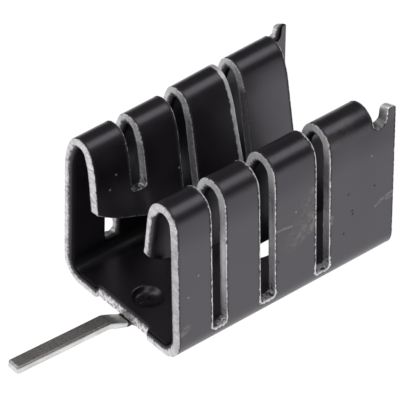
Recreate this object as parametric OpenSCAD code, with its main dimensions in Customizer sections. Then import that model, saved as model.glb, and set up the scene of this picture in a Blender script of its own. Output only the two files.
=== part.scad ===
// Heat sink for a flat power transistor: a U channel folded from one sheet, with
// slotted fins folded over inward, and a flat solder pin staked under its base.
// Millimetres. The origin is the centre of the screw hole on the underside of the
// base. X runs across the channel, Y along it with the pin at -Y, and Z is up.

/* [Sheet] */
// Thickness of the sheet
sheet_t = 0.9; // [0.7:0.05:1.1]
// Outside width of the channel, at the bends of the base
channel_w = 12.5; // [12:0.1:15]
// Inside radius of the bends between base and walls
bend_inner_r = 0.9; // [0.5:0.05:1.2]
// Lean of each wall towards the middle, in degrees
wall_lean = 1.5; // [0:0.25:4]
// Height of the folds' crests above the underside of the base
crest_h = 13.1; // [12:0.1:16]
// Inside radius of the fold at the top of each wall
fold_inner_r = 0.55; // [0.4:0.05:0.8]
// Lean of each folded flange towards the middle, in degrees
flange_lean = 7.5; // [3:0.5:9]

/* [Fins along the length] */
// Length of each of the two front fins
front_fin = 3.0; // [2:0.05:5]
// Length of each of the two rear fins
rear_fin = 3.65; // [2.5:0.05:5]
// Width of the slots between fins
slot_w = 1.25; // [0.8:0.05:1.6]
// Height of the slots' lower ends on the walls
slot_floor = 1.55; // [1.2:0.05:4]
// Height of the web left under the first and last slots on the flanges
flange_web = 2.05; // [1:0.05:2.5]
// Width of the notch that parts the last fin from the ear
notch_w = 1.3; // [0.8:0.05:1.8]
// Depth of the notch's round floor below the crests
notch_depth = 1.35; // [0.8:0.05:4]
// Length of the upright ear at the back end of each wall
ear_l = 0.7; // [0.5:0.05:1.5]
// Height of the ear's round tip above the crests
ear_rise = 0.2; // [0:0.05:2]

/* [Lower edge of the flanges] */
// Height of the level edge over the transistor's body, on the front fins
body_edge_h = 5.45; // [5:0.05:6]
// Height of the level edge over the transistor's tab, on the rear fins
tab_edge_h = 3.1; // [2.4:0.05:4]
// Radius of the lead-in that rises from the level edge to the front end
lead_r = 8.6; // [7:0.1:12]
// Length of the lead-in from the front end
lead_run = 5.9; // [3:0.1:6]
// Radius of the rear flange's lower corners
corner_r = 1.0; // [0.3:0.05:1.2]

/* [Base] */
// Diameter of the screw hole
hole_d = 3.6; // [3:0.05:4]
// Distance of the screw hole from the front end
hole_from_front = 11.6; // [10:0.1:13]
// Width of the relief in the front edge, where the pin leaves
relief_w = 5.35; // [3:0.05:7]
// Depth of the relief at the top face of the base
relief_top = 0.45; // [0.3:0.01:0.6]
// Depth of the relief at the underside of the base
relief_foot = 0.3; // [0.2:0.01:0.4]

/* [Stake and pin] */
// Distance of the stake from the front end
stake_from_front = 2.2; // [1.8:0.05:4]
// Diameter of the round dimple that the stake leaves in the base
dimple_d = 2.05; // [1.6:0.05:2.4]
// Depth of the dimple
dimple_depth = 0.55; // [0.2:0.05:0.6]
// Diameter of the stud below the dimple
stud_d = 1.9; // [1.4:0.05:2.2]
// Flare of the stud's end, on the radius
stud_flare = 0.25; // [0.1:0.05:0.3]
// Gap between the stud and the pin's eye
stake_gap = 0.02; // [0.01:0.01:0.05]
// Thickness of the pin
pin_t = 0.45; // [0.35:0.05:0.6]
// Width of the pin
pin_w = 1.2; // [0.8:0.05:1.6]
// Diameter of the flat eye that the stud holds
eye_d = 3.6; // [3:0.1:5]
// Reach of the pin beyond the front end
pin_reach = 9.5; // [4:0.1:14]
// Slope of the pin's joggle, in degrees
joggle_angle = 20; // [10:1:40]
// Height that the joggle lifts the pin's top face
joggle_rise = 0.48; // [0.3:0.02:1]
// Inside radius of the pin's bends
pin_bend_r = 0.35; // [0.2:0.05:0.6]
// Upward slope of the pin's shank, in degrees
shank_slope = 3.5; // [0:0.5:5]
// Chamfer round the pin's tip
tip_chamfer = 0.14; // [0.05:0.01:0.2]

/* [Hidden] */
$fn = 96;
// How far a cut runs past what it cuts
over = 1;
// How far a round overlaps the straight runs that it joins
round_lap = 0.0005;
half_w = channel_w / 2;
bend_outer_r = bend_inner_r + sheet_t;
fold_outer_r = fold_inner_r + sheet_t;
ear_top = crest_h + ear_rise;
notch_floor = crest_h - notch_depth;
// Places along Y
y_front = -hole_from_front;
fin_3_y = y_front + 2 * front_fin + 2 * slot_w;
y_fold_end = fin_3_y + 2 * rear_fin + slot_w;
y_ear = y_fold_end + notch_w;
y_back = y_ear + ear_l;
y_stake = y_front + stake_from_front;
y_lead = y_front + lead_run;
slot_y = [y_front + front_fin + slot_w / 2, fin_3_y - slot_w / 2, fin_3_y + rear_fin + slot_w / 2];
// Section of the sheet on the right, as [x, z]: centres of bend and fold, ends of wall and flange
bend_c = [half_w - bend_outer_r, bend_outer_r];
fold_z = crest_h - fold_outer_r;
wall_l = (fold_z - bend_outer_r + (fold_outer_r - bend_outer_r) * sin(wall_lean)) / cos(wall_lean);
wall_foot = bend_c + bend_outer_r * ray(wall_lean);
wall_head = wall_foot + wall_l * ray(90 + wall_lean);
fold_c = wall_head - fold_outer_r * ray(wall_lean);
flange_root = fold_c + fold_outer_r * ray(180 - flange_lean);
flange_l = (flange_root[1] - tab_edge_h) / cos(flange_lean) + sheet_t / 2;
flange_end = flange_root + flange_l * ray(270 - flange_lean);
ear_end = wall_foot + ((ear_top - wall_foot[1]) / cos(wall_lean) + sheet_t) * ray(90 + wall_lean);
// From a face of the wall or flange through the sheet to its other face
wall_in = -sheet_t * ray(wall_lean);
flange_in = -sheet_t * ray(180 - flange_lean);
// Heights
cut_low = sheet_t + over / 2;
cut_top = max(crest_h, ear_top) + over;
dimple_floor = sheet_t - dimple_depth;
lead_back = max(0, y_lead - slot_y[0]);
lead_edge_h = body_edge_h + lead_r - sqrt(lead_r * lead_r - lead_back * lead_back);

function ray(a) = [cos(a), sin(a)];
function arc(c, r, a0, a1, steps) = [for (i = [0 : steps]) c + r * ray(a0 + (a1 - a0) * i / steps)];

// Places its child, drawn in (x, z), from y0 to y1
module along_y(y0, y1) {
    translate([0, y1, 0])
        rotate([90, 0, 0])
            linear_extrude(height = y1 - y0) children();
}

// Places its child, drawn in (y, z), from x0 to x1
module along_x(x0, x1) {
    translate([x0, 0, 0])
        rotate([90, 0, 90])
            linear_extrude(height = x1 - x0) children();
}

// Its child on the right, and mirrored on the left
module both_sides() {
    children();
    mirror([1, 0, 0]) children();
}

// Half section with the fold: all inside the sheet's outer face, less all inside its inner face
module folded_half() {
    difference() {
        union() {
            polygon([[0, 0], [bend_c[0], 0], bend_c, wall_foot, wall_head,
                fold_c, flange_root, flange_end, [0, 2 * sheet_t]]);
            translate(bend_c) circle(r = bend_outer_r + round_lap);
            translate(fold_c) circle(r = fold_outer_r + round_lap);
        }
        polygon([[-over, sheet_t], [bend_c[0], sheet_t], bend_c, wall_foot + wall_in, wall_head + wall_in,
            fold_c, flange_root + flange_in, flange_end + flange_in, flange_end, [-over, flange_end[1]]]);
        translate(bend_c) circle(r = bend_inner_r + round_lap);
        translate(fold_c) circle(r = fold_inner_r + round_lap);
    }
}

// Half section with the wall running straight up, for the ear
module upright_half() {
    difference() {
        union() {
            polygon([[0, 0], [bend_c[0], 0], bend_c, wall_foot, wall_head,
                ear_end, ear_end + wall_in, [0, 2 * sheet_t]]);
            translate(bend_c) circle(r = bend_outer_r + round_lap);
        }
        polygon([[-over, sheet_t], [bend_c[0], sheet_t], bend_c, wall_foot + wall_in, wall_head + wall_in,
            ear_end + wall_in, [-over, ear_end[1] + wall_in[1]]]);
        translate(bend_c) circle(r = bend_inner_r + round_lap);
    }
}

// The folded sheet before its openings are cut; the sections change in the middle of the notch
module folded_sheet() {
    y_mid = y_fold_end + notch_w / 2;
    both_sides() {
        along_y(y_front, y_mid) folded_half();
        along_y(y_mid, y_back) upright_half();
    }
}

// Outline of a slot in (y, z): round floor, open at the top
module slot_outline(y, w, floor_z) {
    translate([y, floor_z + w / 2]) circle(d = w);
    translate([y - w / 2, floor_z + w / 2]) square([w, cut_top - floor_z]);
}

// What is cut from the walls, in (y, z): slots, notch and the round tip of the ear
module wall_cuts() {
    tip_r = ear_l / 2;
    for (y = slot_y) slot_outline(y, slot_w, slot_floor);
    slot_outline(y_fold_end + notch_w / 2, notch_w, notch_floor);
    difference() {
        translate([y_ear, ear_top - tip_r]) square([ear_l + over, cut_top - ear_top + tip_r]);
        translate([y_back - tip_r, ear_top - tip_r]) circle(r = tip_r);
    }
}

// What is cut from the flanges, in (y, z): the gap between the front pair of fins and the rear
// pair, the slot inside each pair, all behind the last fin, and all below the lower edges
module flange_cuts() {
    front_l = fin_3_y - slot_w - y_front;
    rear_l = y_fold_end - fin_3_y;
    lead_c = [y_lead, body_edge_h + lead_r];
    corner_z = tab_edge_h + corner_r;
    slot_outline(slot_y[0], slot_w, lead_edge_h + flange_web);
    slot_outline(slot_y[2], slot_w, tab_edge_h + flange_web);
    translate([fin_3_y - slot_w, cut_low]) square([slot_w, cut_top - cut_low]);
    translate([y_fold_end, cut_low]) square([y_back - y_fold_end + over, cut_top - cut_low]);
    difference() {
        translate([y_front - over, cut_low]) square([front_l + 2 * over, lead_c[1] - cut_low]);
        translate(lead_c) circle(r = lead_r);
        translate([y_lead, body_edge_h]) square([front_l, lead_r + over]);
        translate([fin_3_y, cut_low]) square([rear_l, cut_top]);
    }
    difference() {
        translate([fin_3_y, cut_low]) square([rear_l, corner_z - cut_low]);
        translate([fin_3_y + corner_r, tab_edge_h]) square([rear_l - 2 * corner_r, corner_r + over]);
        translate([fin_3_y + corner_r, corner_z]) circle(r = corner_r);
        translate([y_fold_end - corner_r, corner_z]) circle(r = corner_r);
    }
}

// Sloping relief in the base's front edge, in (y, z)
module relief_outline() {
    slope = (relief_top - relief_foot) / sheet_t;
    polygon([
        [y_front - over, -over],
        [y_front + relief_foot - slope * over, -over],
        [y_front + relief_top + slope * over, sheet_t + over],
        [y_front - over, sheet_t + over]
    ]);
}

// Stud pressed down out of the base, flared in the pin's eye; grow widens it all round
module stake_stud(grow) {
    r = stud_d / 2 + grow;
    translate([0, y_stake, -pin_t]) {
        cylinder(r = r, h = pin_t + dimple_floor);
        cylinder(r1 = r + stud_flare, r2 = r, h = stud_flare);
    }
}

module finned_channel() {
    color([0.09, 0.09, 0.1]) {
        difference() {
            folded_sheet();
            both_sides() {
                along_x(fold_c[0], half_w + over) wall_cuts();
                along_x(0, fold_c[0]) flange_cuts();
            }
            translate([0, 0, -over]) cylinder(d = hole_d, h = sheet_t + 2 * over);
            along_x(-relief_w / 2, relief_w / 2) relief_outline();
            translate([0, y_stake, dimple_floor]) cylinder(d = dimple_d, h = dimple_depth + over);
        }
        stake_stud(0);
    }
}

// Side view of the pin in (y, z): under the base, up the joggle, out along the shank
module pin_side() {
    ramp_a = 270 - joggle_angle;
    outer_r = pin_bend_r + pin_t;
    // The lower bend turns about a point above the pin, the upper bend about one below it
    low_c = [y_front + relief_foot, pin_bend_r];
    turn_rise = outer_r * (1 - cos(joggle_angle)) + pin_bend_r * (cos(shank_slope) - cos(joggle_angle));
    ramp_l = max(0.05, (joggle_rise - turn_rise) / sin(joggle_angle));
    high_c = low_c + (outer_r + pin_bend_r) * ray(ramp_a) + ramp_l * ray(180 - joggle_angle);
    shank_foot = high_c + pin_bend_r * ray(90 - shank_slope);
    shank_l = (shank_foot[0] - (y_front - pin_reach)) / cos(shank_slope);
    tip_foot = shank_foot + shank_l * ray(180 - shank_slope);
    through = pin_t * ray(90 - shank_slope);
    along = tip_chamfer * ray(-shank_slope);
    across = tip_chamfer * ray(90 - shank_slope);
    polygon(concat(
        [[y_stake, 0], [y_stake, -pin_t]],
        arc(low_c, outer_r, 270, ramp_a, 8),
        arc(high_c, pin_bend_r, ramp_a - 180, 90 - shank_slope, 8),
        [tip_foot + along, tip_foot + across, tip_foot + through - across, tip_foot + through + along],
        arc(high_c, outer_r, 90 - shank_slope, ramp_a - 180, 8),
        arc(low_c, pin_bend_r, ramp_a, 270, 8)
    ));
}

// Plan of the pin: a strip that narrows past its tip, so that the tip's corners are chamfered
module pin_plan() {
    side = pin_w / 2;
    taper_y = y_front - pin_reach + tip_chamfer;
    polygon([[-side, y_stake], [-side, taper_y], [0, taper_y - side], [side, taper_y], [side, y_stake]]);
}

module solder_pin() {
    color([0.78, 0.77, 0.74]) {
        difference() {
            union() {
                intersection() {
                    along_x(-pin_w / 2, pin_w / 2) pin_side();
                    translate([0, 0, -over - pin_t]) linear_extrude(height = crest_h) pin_plan();
                }
                translate([0, y_stake, -pin_t]) cylinder(d = eye_d, h = pin_t);
            }
            stake_stud(stake_gap);
        }
    }
}

finned_channel();
solder_pin();
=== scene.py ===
# %% [markdown]
# A folded heat sink for a flat power transistor.
# One black sheet of aluminium is punched flat, then bent up into a channel whose fins
# fold over inward. A small tinned pin is staked under its front edge. The lesson builds
# both the way a press shop does: draw the flat blank, then bend it along a path.

# %% Load the frame and carry each solid's placement into its mesh
import bpy
import numpy as np
from mathutils import Matrix
from mathutils.geometry import delaunay_2d_cdt


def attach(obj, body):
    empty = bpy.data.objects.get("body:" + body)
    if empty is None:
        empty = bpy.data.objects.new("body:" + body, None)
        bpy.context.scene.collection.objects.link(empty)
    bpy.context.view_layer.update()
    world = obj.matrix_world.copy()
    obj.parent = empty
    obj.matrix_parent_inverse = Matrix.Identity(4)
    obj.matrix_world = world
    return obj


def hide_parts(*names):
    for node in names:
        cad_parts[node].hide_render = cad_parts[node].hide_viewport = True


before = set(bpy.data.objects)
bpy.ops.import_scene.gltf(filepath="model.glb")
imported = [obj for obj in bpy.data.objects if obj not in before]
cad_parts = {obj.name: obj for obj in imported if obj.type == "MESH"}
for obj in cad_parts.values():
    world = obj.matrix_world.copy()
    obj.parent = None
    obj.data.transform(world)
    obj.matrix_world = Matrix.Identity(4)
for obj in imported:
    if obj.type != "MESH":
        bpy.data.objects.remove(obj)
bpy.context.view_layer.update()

MM = 0.001

# %% [markdown]
# Bending a sheet keeps the length of its middle line. So a bent section is a path of
# straight runs and even turns, and a point of the flat blank only has to be carried along
# that path. A bend modifier could do it, but a formula keeps the run, which the material
# uses later to lay scratches on the blank.

# %% A path of straight runs and even turns
def bent_path(run, legs):
    """Forward and up position, and heading, at each run. Each leg is (length, turn): the
    heading grows evenly by the turn along its length. On a turn of radius r the point
    moves by r (sin h1 - sin h0) forward and r (cos h0 - cos h1) up."""
    forward, up, heading = np.zeros_like(run), np.zeros_like(run), np.zeros_like(run)
    start, aim = 0.0, 0.0
    for length, turn in legs:
        u = np.clip(run - start, 0, length)
        if turn:
            radius = length / turn
            forward += radius * (np.sin(aim + u / radius) - np.sin(aim))
            up += radius * (np.cos(aim) - np.cos(aim + u / radius))
            heading += u / radius
        else:
            forward += u * np.cos(aim)
            up += u * np.sin(aim)
        start, aim = start + length, aim + turn
    return forward, up, heading


quarter = np.pi / 2
quarter_end = bent_path(np.array([quarter]), [(quarter, quarter)])
print("a quarter turn of radius 1 ends at", np.round(quarter_end, 3).ravel())

# %% [markdown]
# The folds aren't round. Sheet that is folded freely over a thin blade bends hardest at
# the crest and only a little on the way there. Three turns in a row give that: a gentle
# one, a tight one and a gentle one. The two sides were not folded quite alike.

# %% The channel's section in millimetres
SHEET_MID = 0.45                     # height of the base's middle line
HALF_T = 0.43                        # half thickness, inside the solid's 0.45 so that burrs fit
BASE_RUN, BEND_R, WALL_TURN = 4.45, 1.35, np.radians(91.5)
WALL_FOOT = BASE_RUN + BEND_R * WALL_TURN
FLANGE_RUN, UPRIGHT_RUN = 12.0, 30.0     # straight ends of the paths, longer than the sheet
RUN_STEP, RUN_END = 0.01, 31.0       # how finely and how far a path is sampled
RIGHT, LEFT = 1, -1
WALL_RUN = {RIGHT: 8.753, LEFT: 7.889}
FOLD_TURNS = {RIGHT: [(1.219, 6.6), (2.464, 142.2), (1.242, 23.5)],
              LEFT: [(2.473, 23.5), (1.817, 132.8), (1.713, 16.5)]}
foot_legs = [(BASE_RUN, 0), (BEND_R * WALL_TURN, WALL_TURN)]
upright_legs = foot_legs + [(UPRIGHT_RUN, 0)]
folded_legs = {}
for side, turns in FOLD_TURNS.items():
    fold = [(length, np.radians(turn)) for length, turn in turns]
    folded_legs[side] = foot_legs + [(WALL_RUN[side], 0)] + fold + [(FLANGE_RUN, 0)]
foot_z = SHEET_MID + bent_path(np.array([WALL_FOOT]), upright_legs)[1][0]


def heights(legs):
    """Runs along a path and their heights, with the number of the highest one."""
    run = np.arange(0.0, RUN_END, RUN_STEP)
    z = SHEET_MID + bent_path(run, legs)[1]
    return run, z, int(z.argmax())


def crest(legs):
    """Gives the run at which the path is highest."""
    run, _, top = heights(legs)
    return run[top]


def rising(legs):
    """Gives the run at which the path reaches a height on its way up, straight between samples."""
    run, z, top = heights(legs)
    return lambda height: np.interp(height, z[:top + 1], run[:top + 1])


def falling(legs):
    """Gives the run at which the path comes back down to a height, straight between samples."""
    run, z, top = heights(legs)
    return lambda height: np.interp(-np.asarray(height), -z[top:], run[top:])


crest_run = {side: crest(legs) for side, legs in folded_legs.items()}
print("walls rise from z %.2f; crests at run" % foot_z, crest_run)

# %% [markdown]
# Each fin is a spring of its own: on the real part no two lean quite alike, and the crests
# aren't level. Small shifts that grow with height give that. Behind the fins the wall
# runs on upright and ends in an ear, so there the folded and the upright path are mixed.

# %% From the flat blank to the bent sheet
FIN_Y = np.array([-11.6, -8.5, -7.4, -4.3, -3.1, 0.55, 1.7, 4.3, 5.5, 6.2, 7.5])
LEAN = {RIGHT: [-0.108, -0.108, -0.12, -0.12, -0.04, -0.03, 0.0, 0.02, 0.12, 0.16, 0.22],
        LEFT: [0.187, 0.187, 0.19, 0.19, 0.2, 0.2, 0.2, 0.2, 0.2, 0.24, 0.28]}
LIFT = {RIGHT: [-0.02, -0.02, -0.04, -0.04, 0.02, 0.05, 0.03, 0.03, 0.17, 0.0, 0.0],
        LEFT: [-0.06, -0.06, -0.11, -0.10, 0.08, 0.20, 0.16, 0.20, 0.20, 0.0, 0.0]}
FLANGE_LEAN = {RIGHT: [0.0] * 11,
               LEFT: [0.0, 0.0, 0.025, 0.025, 0.05, 0.05, 0.06, 0.06, 0.06, 0.06, 0.06]}
LEAN_SPAN, FLANGE_SPAN = 11.3, 5.0           # height and flange length that the tables refer to
# The wall stands up behind UPRIGHT_Y. Its top, from FOLD_ZONE above its foot, does so FOLD_LATER behind that.
UPRIGHT_Y, UPRIGHT_SPAN, FOLD_LATER = 3.9, 2.3, 1.6
FOLD_ZONE, FOLD_ZONE_SPAN = 8.0, 2.2
LIP_Y, LIP_Z, LIP_OUT = -10.6, 8.3, 0.22     # the right front flange leaves its wall a little at its tip
EAR_DROP, EAR_DROP_FROM, EAR_DROP_SPAN = {RIGHT: 0.3, LEFT: 0.58}, 11.3, 1.8
EAR_DROP_Y, EAR_DROP_Y_SPAN = 6.0, 0.5


def smooth(t):
    """0 below 0, 1 above 1, and 3 t squared less 2 t cubed between."""
    t = np.clip(t, 0, 1)
    return t * t * (3 - 2 * t)


def of_side(run, values):
    """The left or the right value, after the side of the sheet that the run is on."""
    return np.where(run < 0, values[LEFT], values[RIGHT])


def at_fins(run, y, table):
    """Value of a table along y, straight between its stations, from the side that the run is on."""
    return of_side(run, {side: np.interp(y, FIN_Y, row) for side, row in table.items()})


def fold_sheet(run, y, w):
    """Point of the sheet at run across the blank, y along it and w out from its middle: the
    section's point at |run|, moved w along its outward normal, mirrored for a negative run,
    then lifted and leant outward in proportion to its height above the bend. The tip of an
    ear is drawn down towards its left side, where the shear left it lower."""
    length, side = np.abs(run), np.where(run < 0, LEFT, RIGHT)
    later = FOLD_LATER * smooth((length - WALL_FOOT - FOLD_ZONE) / FOLD_ZONE_SPAN)
    standing = smooth((y - UPRIGHT_Y - later) / (UPRIGHT_SPAN - later))
    paths = [bent_path(length, legs) for legs in (folded_legs[RIGHT], folded_legs[LEFT], upright_legs)]
    x, z, heading = ((1 - standing) * np.where(run < 0, left, right) + standing * upright
                     for right, left, upright in zip(*paths))
    x, z = x + w * np.sin(heading), SHEET_MID + z - w * np.cos(heading)
    rise = np.clip(z - foot_z, 0, None) / LEAN_SPAN
    past = np.clip(length - of_side(run, crest_run), 0, None) * (1 - standing)
    lip = np.clip(LIP_Y - y, 0, 1) * np.clip(LIP_Z - z, 0, 1) ** 2 * (run > crest_run[RIGHT])
    x = x + at_fins(run, y, LEAN) * rise - at_fins(run, y, FLANGE_LEAN) * past - LIP_OUT * lip
    z = z + at_fins(run, y, LIFT) * np.clip(rise, 0, 1) * np.clip(1 - past / FLANGE_SPAN, 0, 1)
    far = 0.5 - 0.5 * side * np.clip(w / HALF_T, -1, 1)
    drop = of_side(run, EAR_DROP) * far * smooth((y - EAR_DROP_Y) / EAR_DROP_Y_SPAN)
    z = z - drop * smooth((z - EAR_DROP_FROM) / EAR_DROP_SPAN)
    return np.stack([side * x, y, z], axis=-1)


front_crests = fold_sheet(np.array([-crest_run[LEFT], crest_run[RIGHT]]),
                          np.full(2, FIN_Y[0]), np.full(2, HALF_T))
print("front crests at", np.round(front_crests, 2).tolist())

# %% [markdown]
# The blank's outline is one closed line of straight edges and arcs, with the slots as
# closed lines of their own. Drawing it flat is far easier than cutting a bent model, and
# it's the drawing that the real punch was made from. These helpers draw such lines.

# %% Arcs and edges of the flat drawing
TINY = 1e-6                          # an edge shorter than this is no edge


def arc(centre, radius, start, end, steps):
    """Points on a circle from one angle in degrees to another: the centre plus the radius times
    the cosine and the sine of each angle."""
    a = np.radians(np.linspace(start, end, steps + 1))
    return np.stack([centre[0] + radius * np.cos(a), centre[1] + radius * np.sin(a)], axis=-1)


def on_blank(points, to_run):
    """Turns (y, z) points on a wall or flange into (run, y) points of the blank."""
    points = np.atleast_2d(np.asarray(points, float))
    return np.stack([to_run(points[:, 1]), points[:, 0]], axis=-1)


def subdivide(loop, step):
    """Splits each edge of a closed line into equal parts no longer than step: a new point is the
    edge's start plus its share t of the edge."""
    following = np.roll(loop, -1, axis=0)
    length = np.linalg.norm(following - loop, axis=1)
    real = length > TINY
    loop, following, length = loop[real], following[real], length[real]
    parts = np.maximum(1, np.ceil(length / step - TINY)).astype(int)
    first = np.repeat(np.arange(len(loop)), parts)
    t = (np.arange(len(first)) - np.repeat(np.cumsum(parts) - parts, parts)) / np.repeat(parts, parts)
    return loop[first] + (following - loop)[first] * t[:, None]


def wound(loop, way):
    """The closed line turned round so that it runs counterclockwise (1) or clockwise (-1), after
    the sign of its area: the sum of x times the next y less y times the next x."""
    following = np.roll(loop, -1, axis=0)
    area = (loop[:, 0] * following[:, 1] - loop[:, 1] * following[:, 0]).sum()
    return loop if area * way > 0 else loop[::-1]


def square_end(y0, y1, z, radius):
    """The flat floor of a slot between y0 and y1 with rounded corners, as (y, z) points."""
    return np.concatenate([arc((y0 + radius, z + radius), radius, 180, 270, 5),
                           arc((y1 - radius, z + radius), radius, 270, 360, 5)])


print("a slot's floor is drawn with", len(square_end(0.0, 1.2, 1.7, 0.3)), "points")

# %% [markdown]
# On the real blank the fins are tongues between open and closed slots. The front flanges
# have a curved lead-in edge that lets the transistor slide in, the rear ones reach lower,
# and each wall ends in a notch and an ear. One half is drawn in heights, which are easy to
# measure, and turned into runs. The two halves differ a little, as the press left them.

# %% The outline of the channel's blank
RIM_STEP = 0.16
Y_FRONT, Y_BACK = -11.58, 7.43
SLOTS = {RIGHT: [(-8.58, -7.37), (-4.36, -3.10), (0.57, 1.73)],
         LEFT: [(-8.52, -7.34), (-4.27, -3.14), (0.52, 1.61)]}
SLOT_FLOORS, SLOT_CORNER = [1.73, 1.72, 1.64], 0.27
RELIEF_HALF, RELIEF_IN, RELIEF_CORNER = {RIGHT: 2.62, LEFT: 2.73}, 0.30, 0.22
RELIEF_CHAMFER = 0.05
LEAD_R, LEAD_Y, BODY_EDGE, TAB_EDGE, CORNER_R = 8.6, -5.7, 5.45, 3.1, 1.0
OPEN_CORNER = 0.4                    # where the front flange meets the open slot
FOLD_END_Y = {RIGHT: 5.58, LEFT: 5.42}
NOTCH_FLOOR, NOTCH_R = {RIGHT: 11.68, LEFT: 11.86}, {RIGHT: 0.68, LEFT: 0.45}
NOTCH_CORNER = 0.27
EAR_FRONT, EAR_TOP, EAR_TAPER = {RIGHT: 6.63, LEFT: 6.76}, {RIGHT: 13.22, LEFT: 13.08}, 0.04
EAR_R = {RIGHT: (0.34, 0.32), LEFT: (0.32, 0.28)}
LIP_DROP, LIP_SPAN = {RIGHT: 0.34, LEFT: 0.27}, {RIGHT: 1.2, LEFT: 3.4}
FOOT_CUT = {RIGHT: 0.12, LEFT: 0.0}
FOOT_RUN, FOOT_DEPTH, FOOT_ROUNDS = 22.4, 0.7, 8


def half_outline(side):
    """One side of the outline from the middle of the front to the middle of the back. The lead-in
    edge is an arc of radius LEAD_R that leaves the level at LEAD_Y. Near the front it is lowered
    by LIP_DROP times the square of 1 less the distance over LIP_SPAN."""
    up, down, ear_up = rising(folded_legs[side]), falling(folded_legs[side]), rising(upright_legs)
    fin_2_end, fin_3 = SLOTS[side][1]
    relief_y, relief_x = Y_FRONT + RELIEF_IN, RELIEF_HALF[side]
    lead_y = np.linspace(Y_FRONT + FOOT_CUT[side], LEAD_Y, 26)
    lead_z = BODY_EDGE + LEAD_R - np.sqrt(LEAD_R ** 2 - (LEAD_Y - lead_y) ** 2)
    lead_z -= LIP_DROP[side] * np.clip(1 - (lead_y - Y_FRONT) / LIP_SPAN[side], 0, 1) ** 2
    fold_end, notch_z, top = FOLD_END_Y[side], NOTCH_FLOOR[side], EAR_TOP[side]
    front, notch_r, (front_r, back_r) = EAR_FRONT[side], NOTCH_R[side], EAR_R[side]
    ear = np.concatenate([arc((front - notch_r, notch_z + notch_r), notch_r, 270, 360, 10),
                          arc((front + EAR_TAPER + front_r, top - front_r), front_r, 180, 90, 7),
                          arc((Y_BACK - back_r, top - back_r), back_r, 90, 0, 6)])
    return np.concatenate([
        [[0, relief_y], [relief_x - RELIEF_CHAMFER, relief_y], [relief_x, relief_y - RELIEF_CHAMFER]],
        arc((relief_x + RELIEF_CORNER, Y_FRONT + RELIEF_CORNER), RELIEF_CORNER, 180, 270, 5),
        on_blank([[Y_FRONT, lead_z[0] + FOOT_CUT[side]]], down),
        on_blank(np.stack([lead_y, lead_z], axis=-1), down),
        on_blank(arc((fin_2_end - OPEN_CORNER, BODY_EDGE + OPEN_CORNER), OPEN_CORNER, 270, 360, 6), down),
        on_blank(square_end(*SLOTS[side][1], SLOT_FLOORS[1], SLOT_CORNER), up),
        on_blank(arc((fin_3 + CORNER_R, TAB_EDGE + CORNER_R), CORNER_R, 180, 270, 12), down),
        on_blank(arc((fold_end - CORNER_R, TAB_EDGE + CORNER_R), CORNER_R, 270, 360, 12), down),
        on_blank(arc((fold_end + NOTCH_CORNER, notch_z + NOTCH_CORNER), NOTCH_CORNER, 180, 270, 6), up),
        on_blank(ear, ear_up),
        [[0, Y_BACK]],
    ]) * [side, 1]


outline = np.concatenate([half_outline(RIGHT)[:-1], half_outline(LEFT)[:0:-1]])
outline = wound(subdivide(outline, RIM_STEP), 1)
for _ in range(FOOT_ROUNDS):         # round the sharp foot of the right front fin
    smoothed = (np.roll(outline, 1, axis=0) + 2 * outline + np.roll(outline, -1, axis=0)) / 4
    foot = (outline[:, :1] > FOOT_RUN) & (outline[:, 1:] < Y_FRONT + FOOT_DEPTH)
    outline = np.where(foot, smoothed, outline)
print("outline of", len(outline), "points")

# %% [markdown]
# The middle slot of each side is open, so the outline has drawn it already. The first and
# the third are closed: they start on the wall, run over the fold and end on the flange. A
# boolean could cut them after the bend, but a line on the flat blank gets the same rim as
# the outline. They're wound the other way, so that the sheet lies to their left too.

# %% The closed slots
FLANGE_FLOORS = {0: 7.97, 2: 5.15}   # heights at which the first and the third slot end
SLOT_SKEW = {(LEFT, 2): 0.40}        # how far a slot's front edge strays to the back at its end
SKEW_PAST = 1.0                      # it starts to stray this far past the crest


def closed_slot(side, number):
    """Slot from its floor on the wall, over the fold, to its end on the flange. Its front edge
    runs straight to a point past the crest, and from there to its end."""
    y0, y1 = SLOTS[side][number]
    y_end = y0 + SLOT_SKEW.get((side, number), 0.0)
    up, down = rising(folded_legs[side]), falling(folded_legs[side])
    wall_end = on_blank(square_end(y0, y1, SLOT_FLOORS[number], SLOT_CORNER), up)
    flange_end = on_blank(square_end(y_end, y1, FLANGE_FLOORS[number], SLOT_CORNER), down)
    past_crest = [[crest_run[side] + SKEW_PAST, y0]]
    return np.concatenate([wall_end, flange_end[::-1], past_crest]) * [side, 1]


slots = [wound(subdivide(closed_slot(side, number), RIM_STEP), -1)
         for side in (RIGHT, LEFT) for number in FLANGE_FLOORS]
print("slots of", [len(s) for s in slots], "points")

# %% [markdown]
# A face of the sheet is a grid of points trimmed by the outline. The grid is finer across
# the bends. A constrained triangulation joins grid and outline, which keeps the mesh even
# without a boolean. Trimming needs to know what lies inside and how near the edge is, and
# a cut edge needs its normals and an even sort of roughness that closes on itself.

# %% Helpers for closed lines
LEAST_MITRE = 0.7                    # limits how far a sharp corner is carried out


def left_normals(loop):
    """Normals to the left of a closed line: the sum of the two edges' directions at a point,
    turned left, made 1 long and divided by the cosine of half the corner's turn, so that an
    offset line keeps its distance."""
    ahead = np.roll(loop, -1, axis=0) - loop
    ahead /= np.linalg.norm(ahead, axis=1)[:, None]
    behind = np.roll(ahead, 1, axis=0)
    n = np.stack([-(ahead + behind)[:, 1], (ahead + behind)[:, 0]], axis=-1)
    n /= np.linalg.norm(n, axis=1)[:, None]
    along = np.sum(n * np.stack([-ahead[:, 1], ahead[:, 0]], axis=-1), axis=1)
    return n / np.clip(along, LEAST_MITRE, 1)[:, None]


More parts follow.
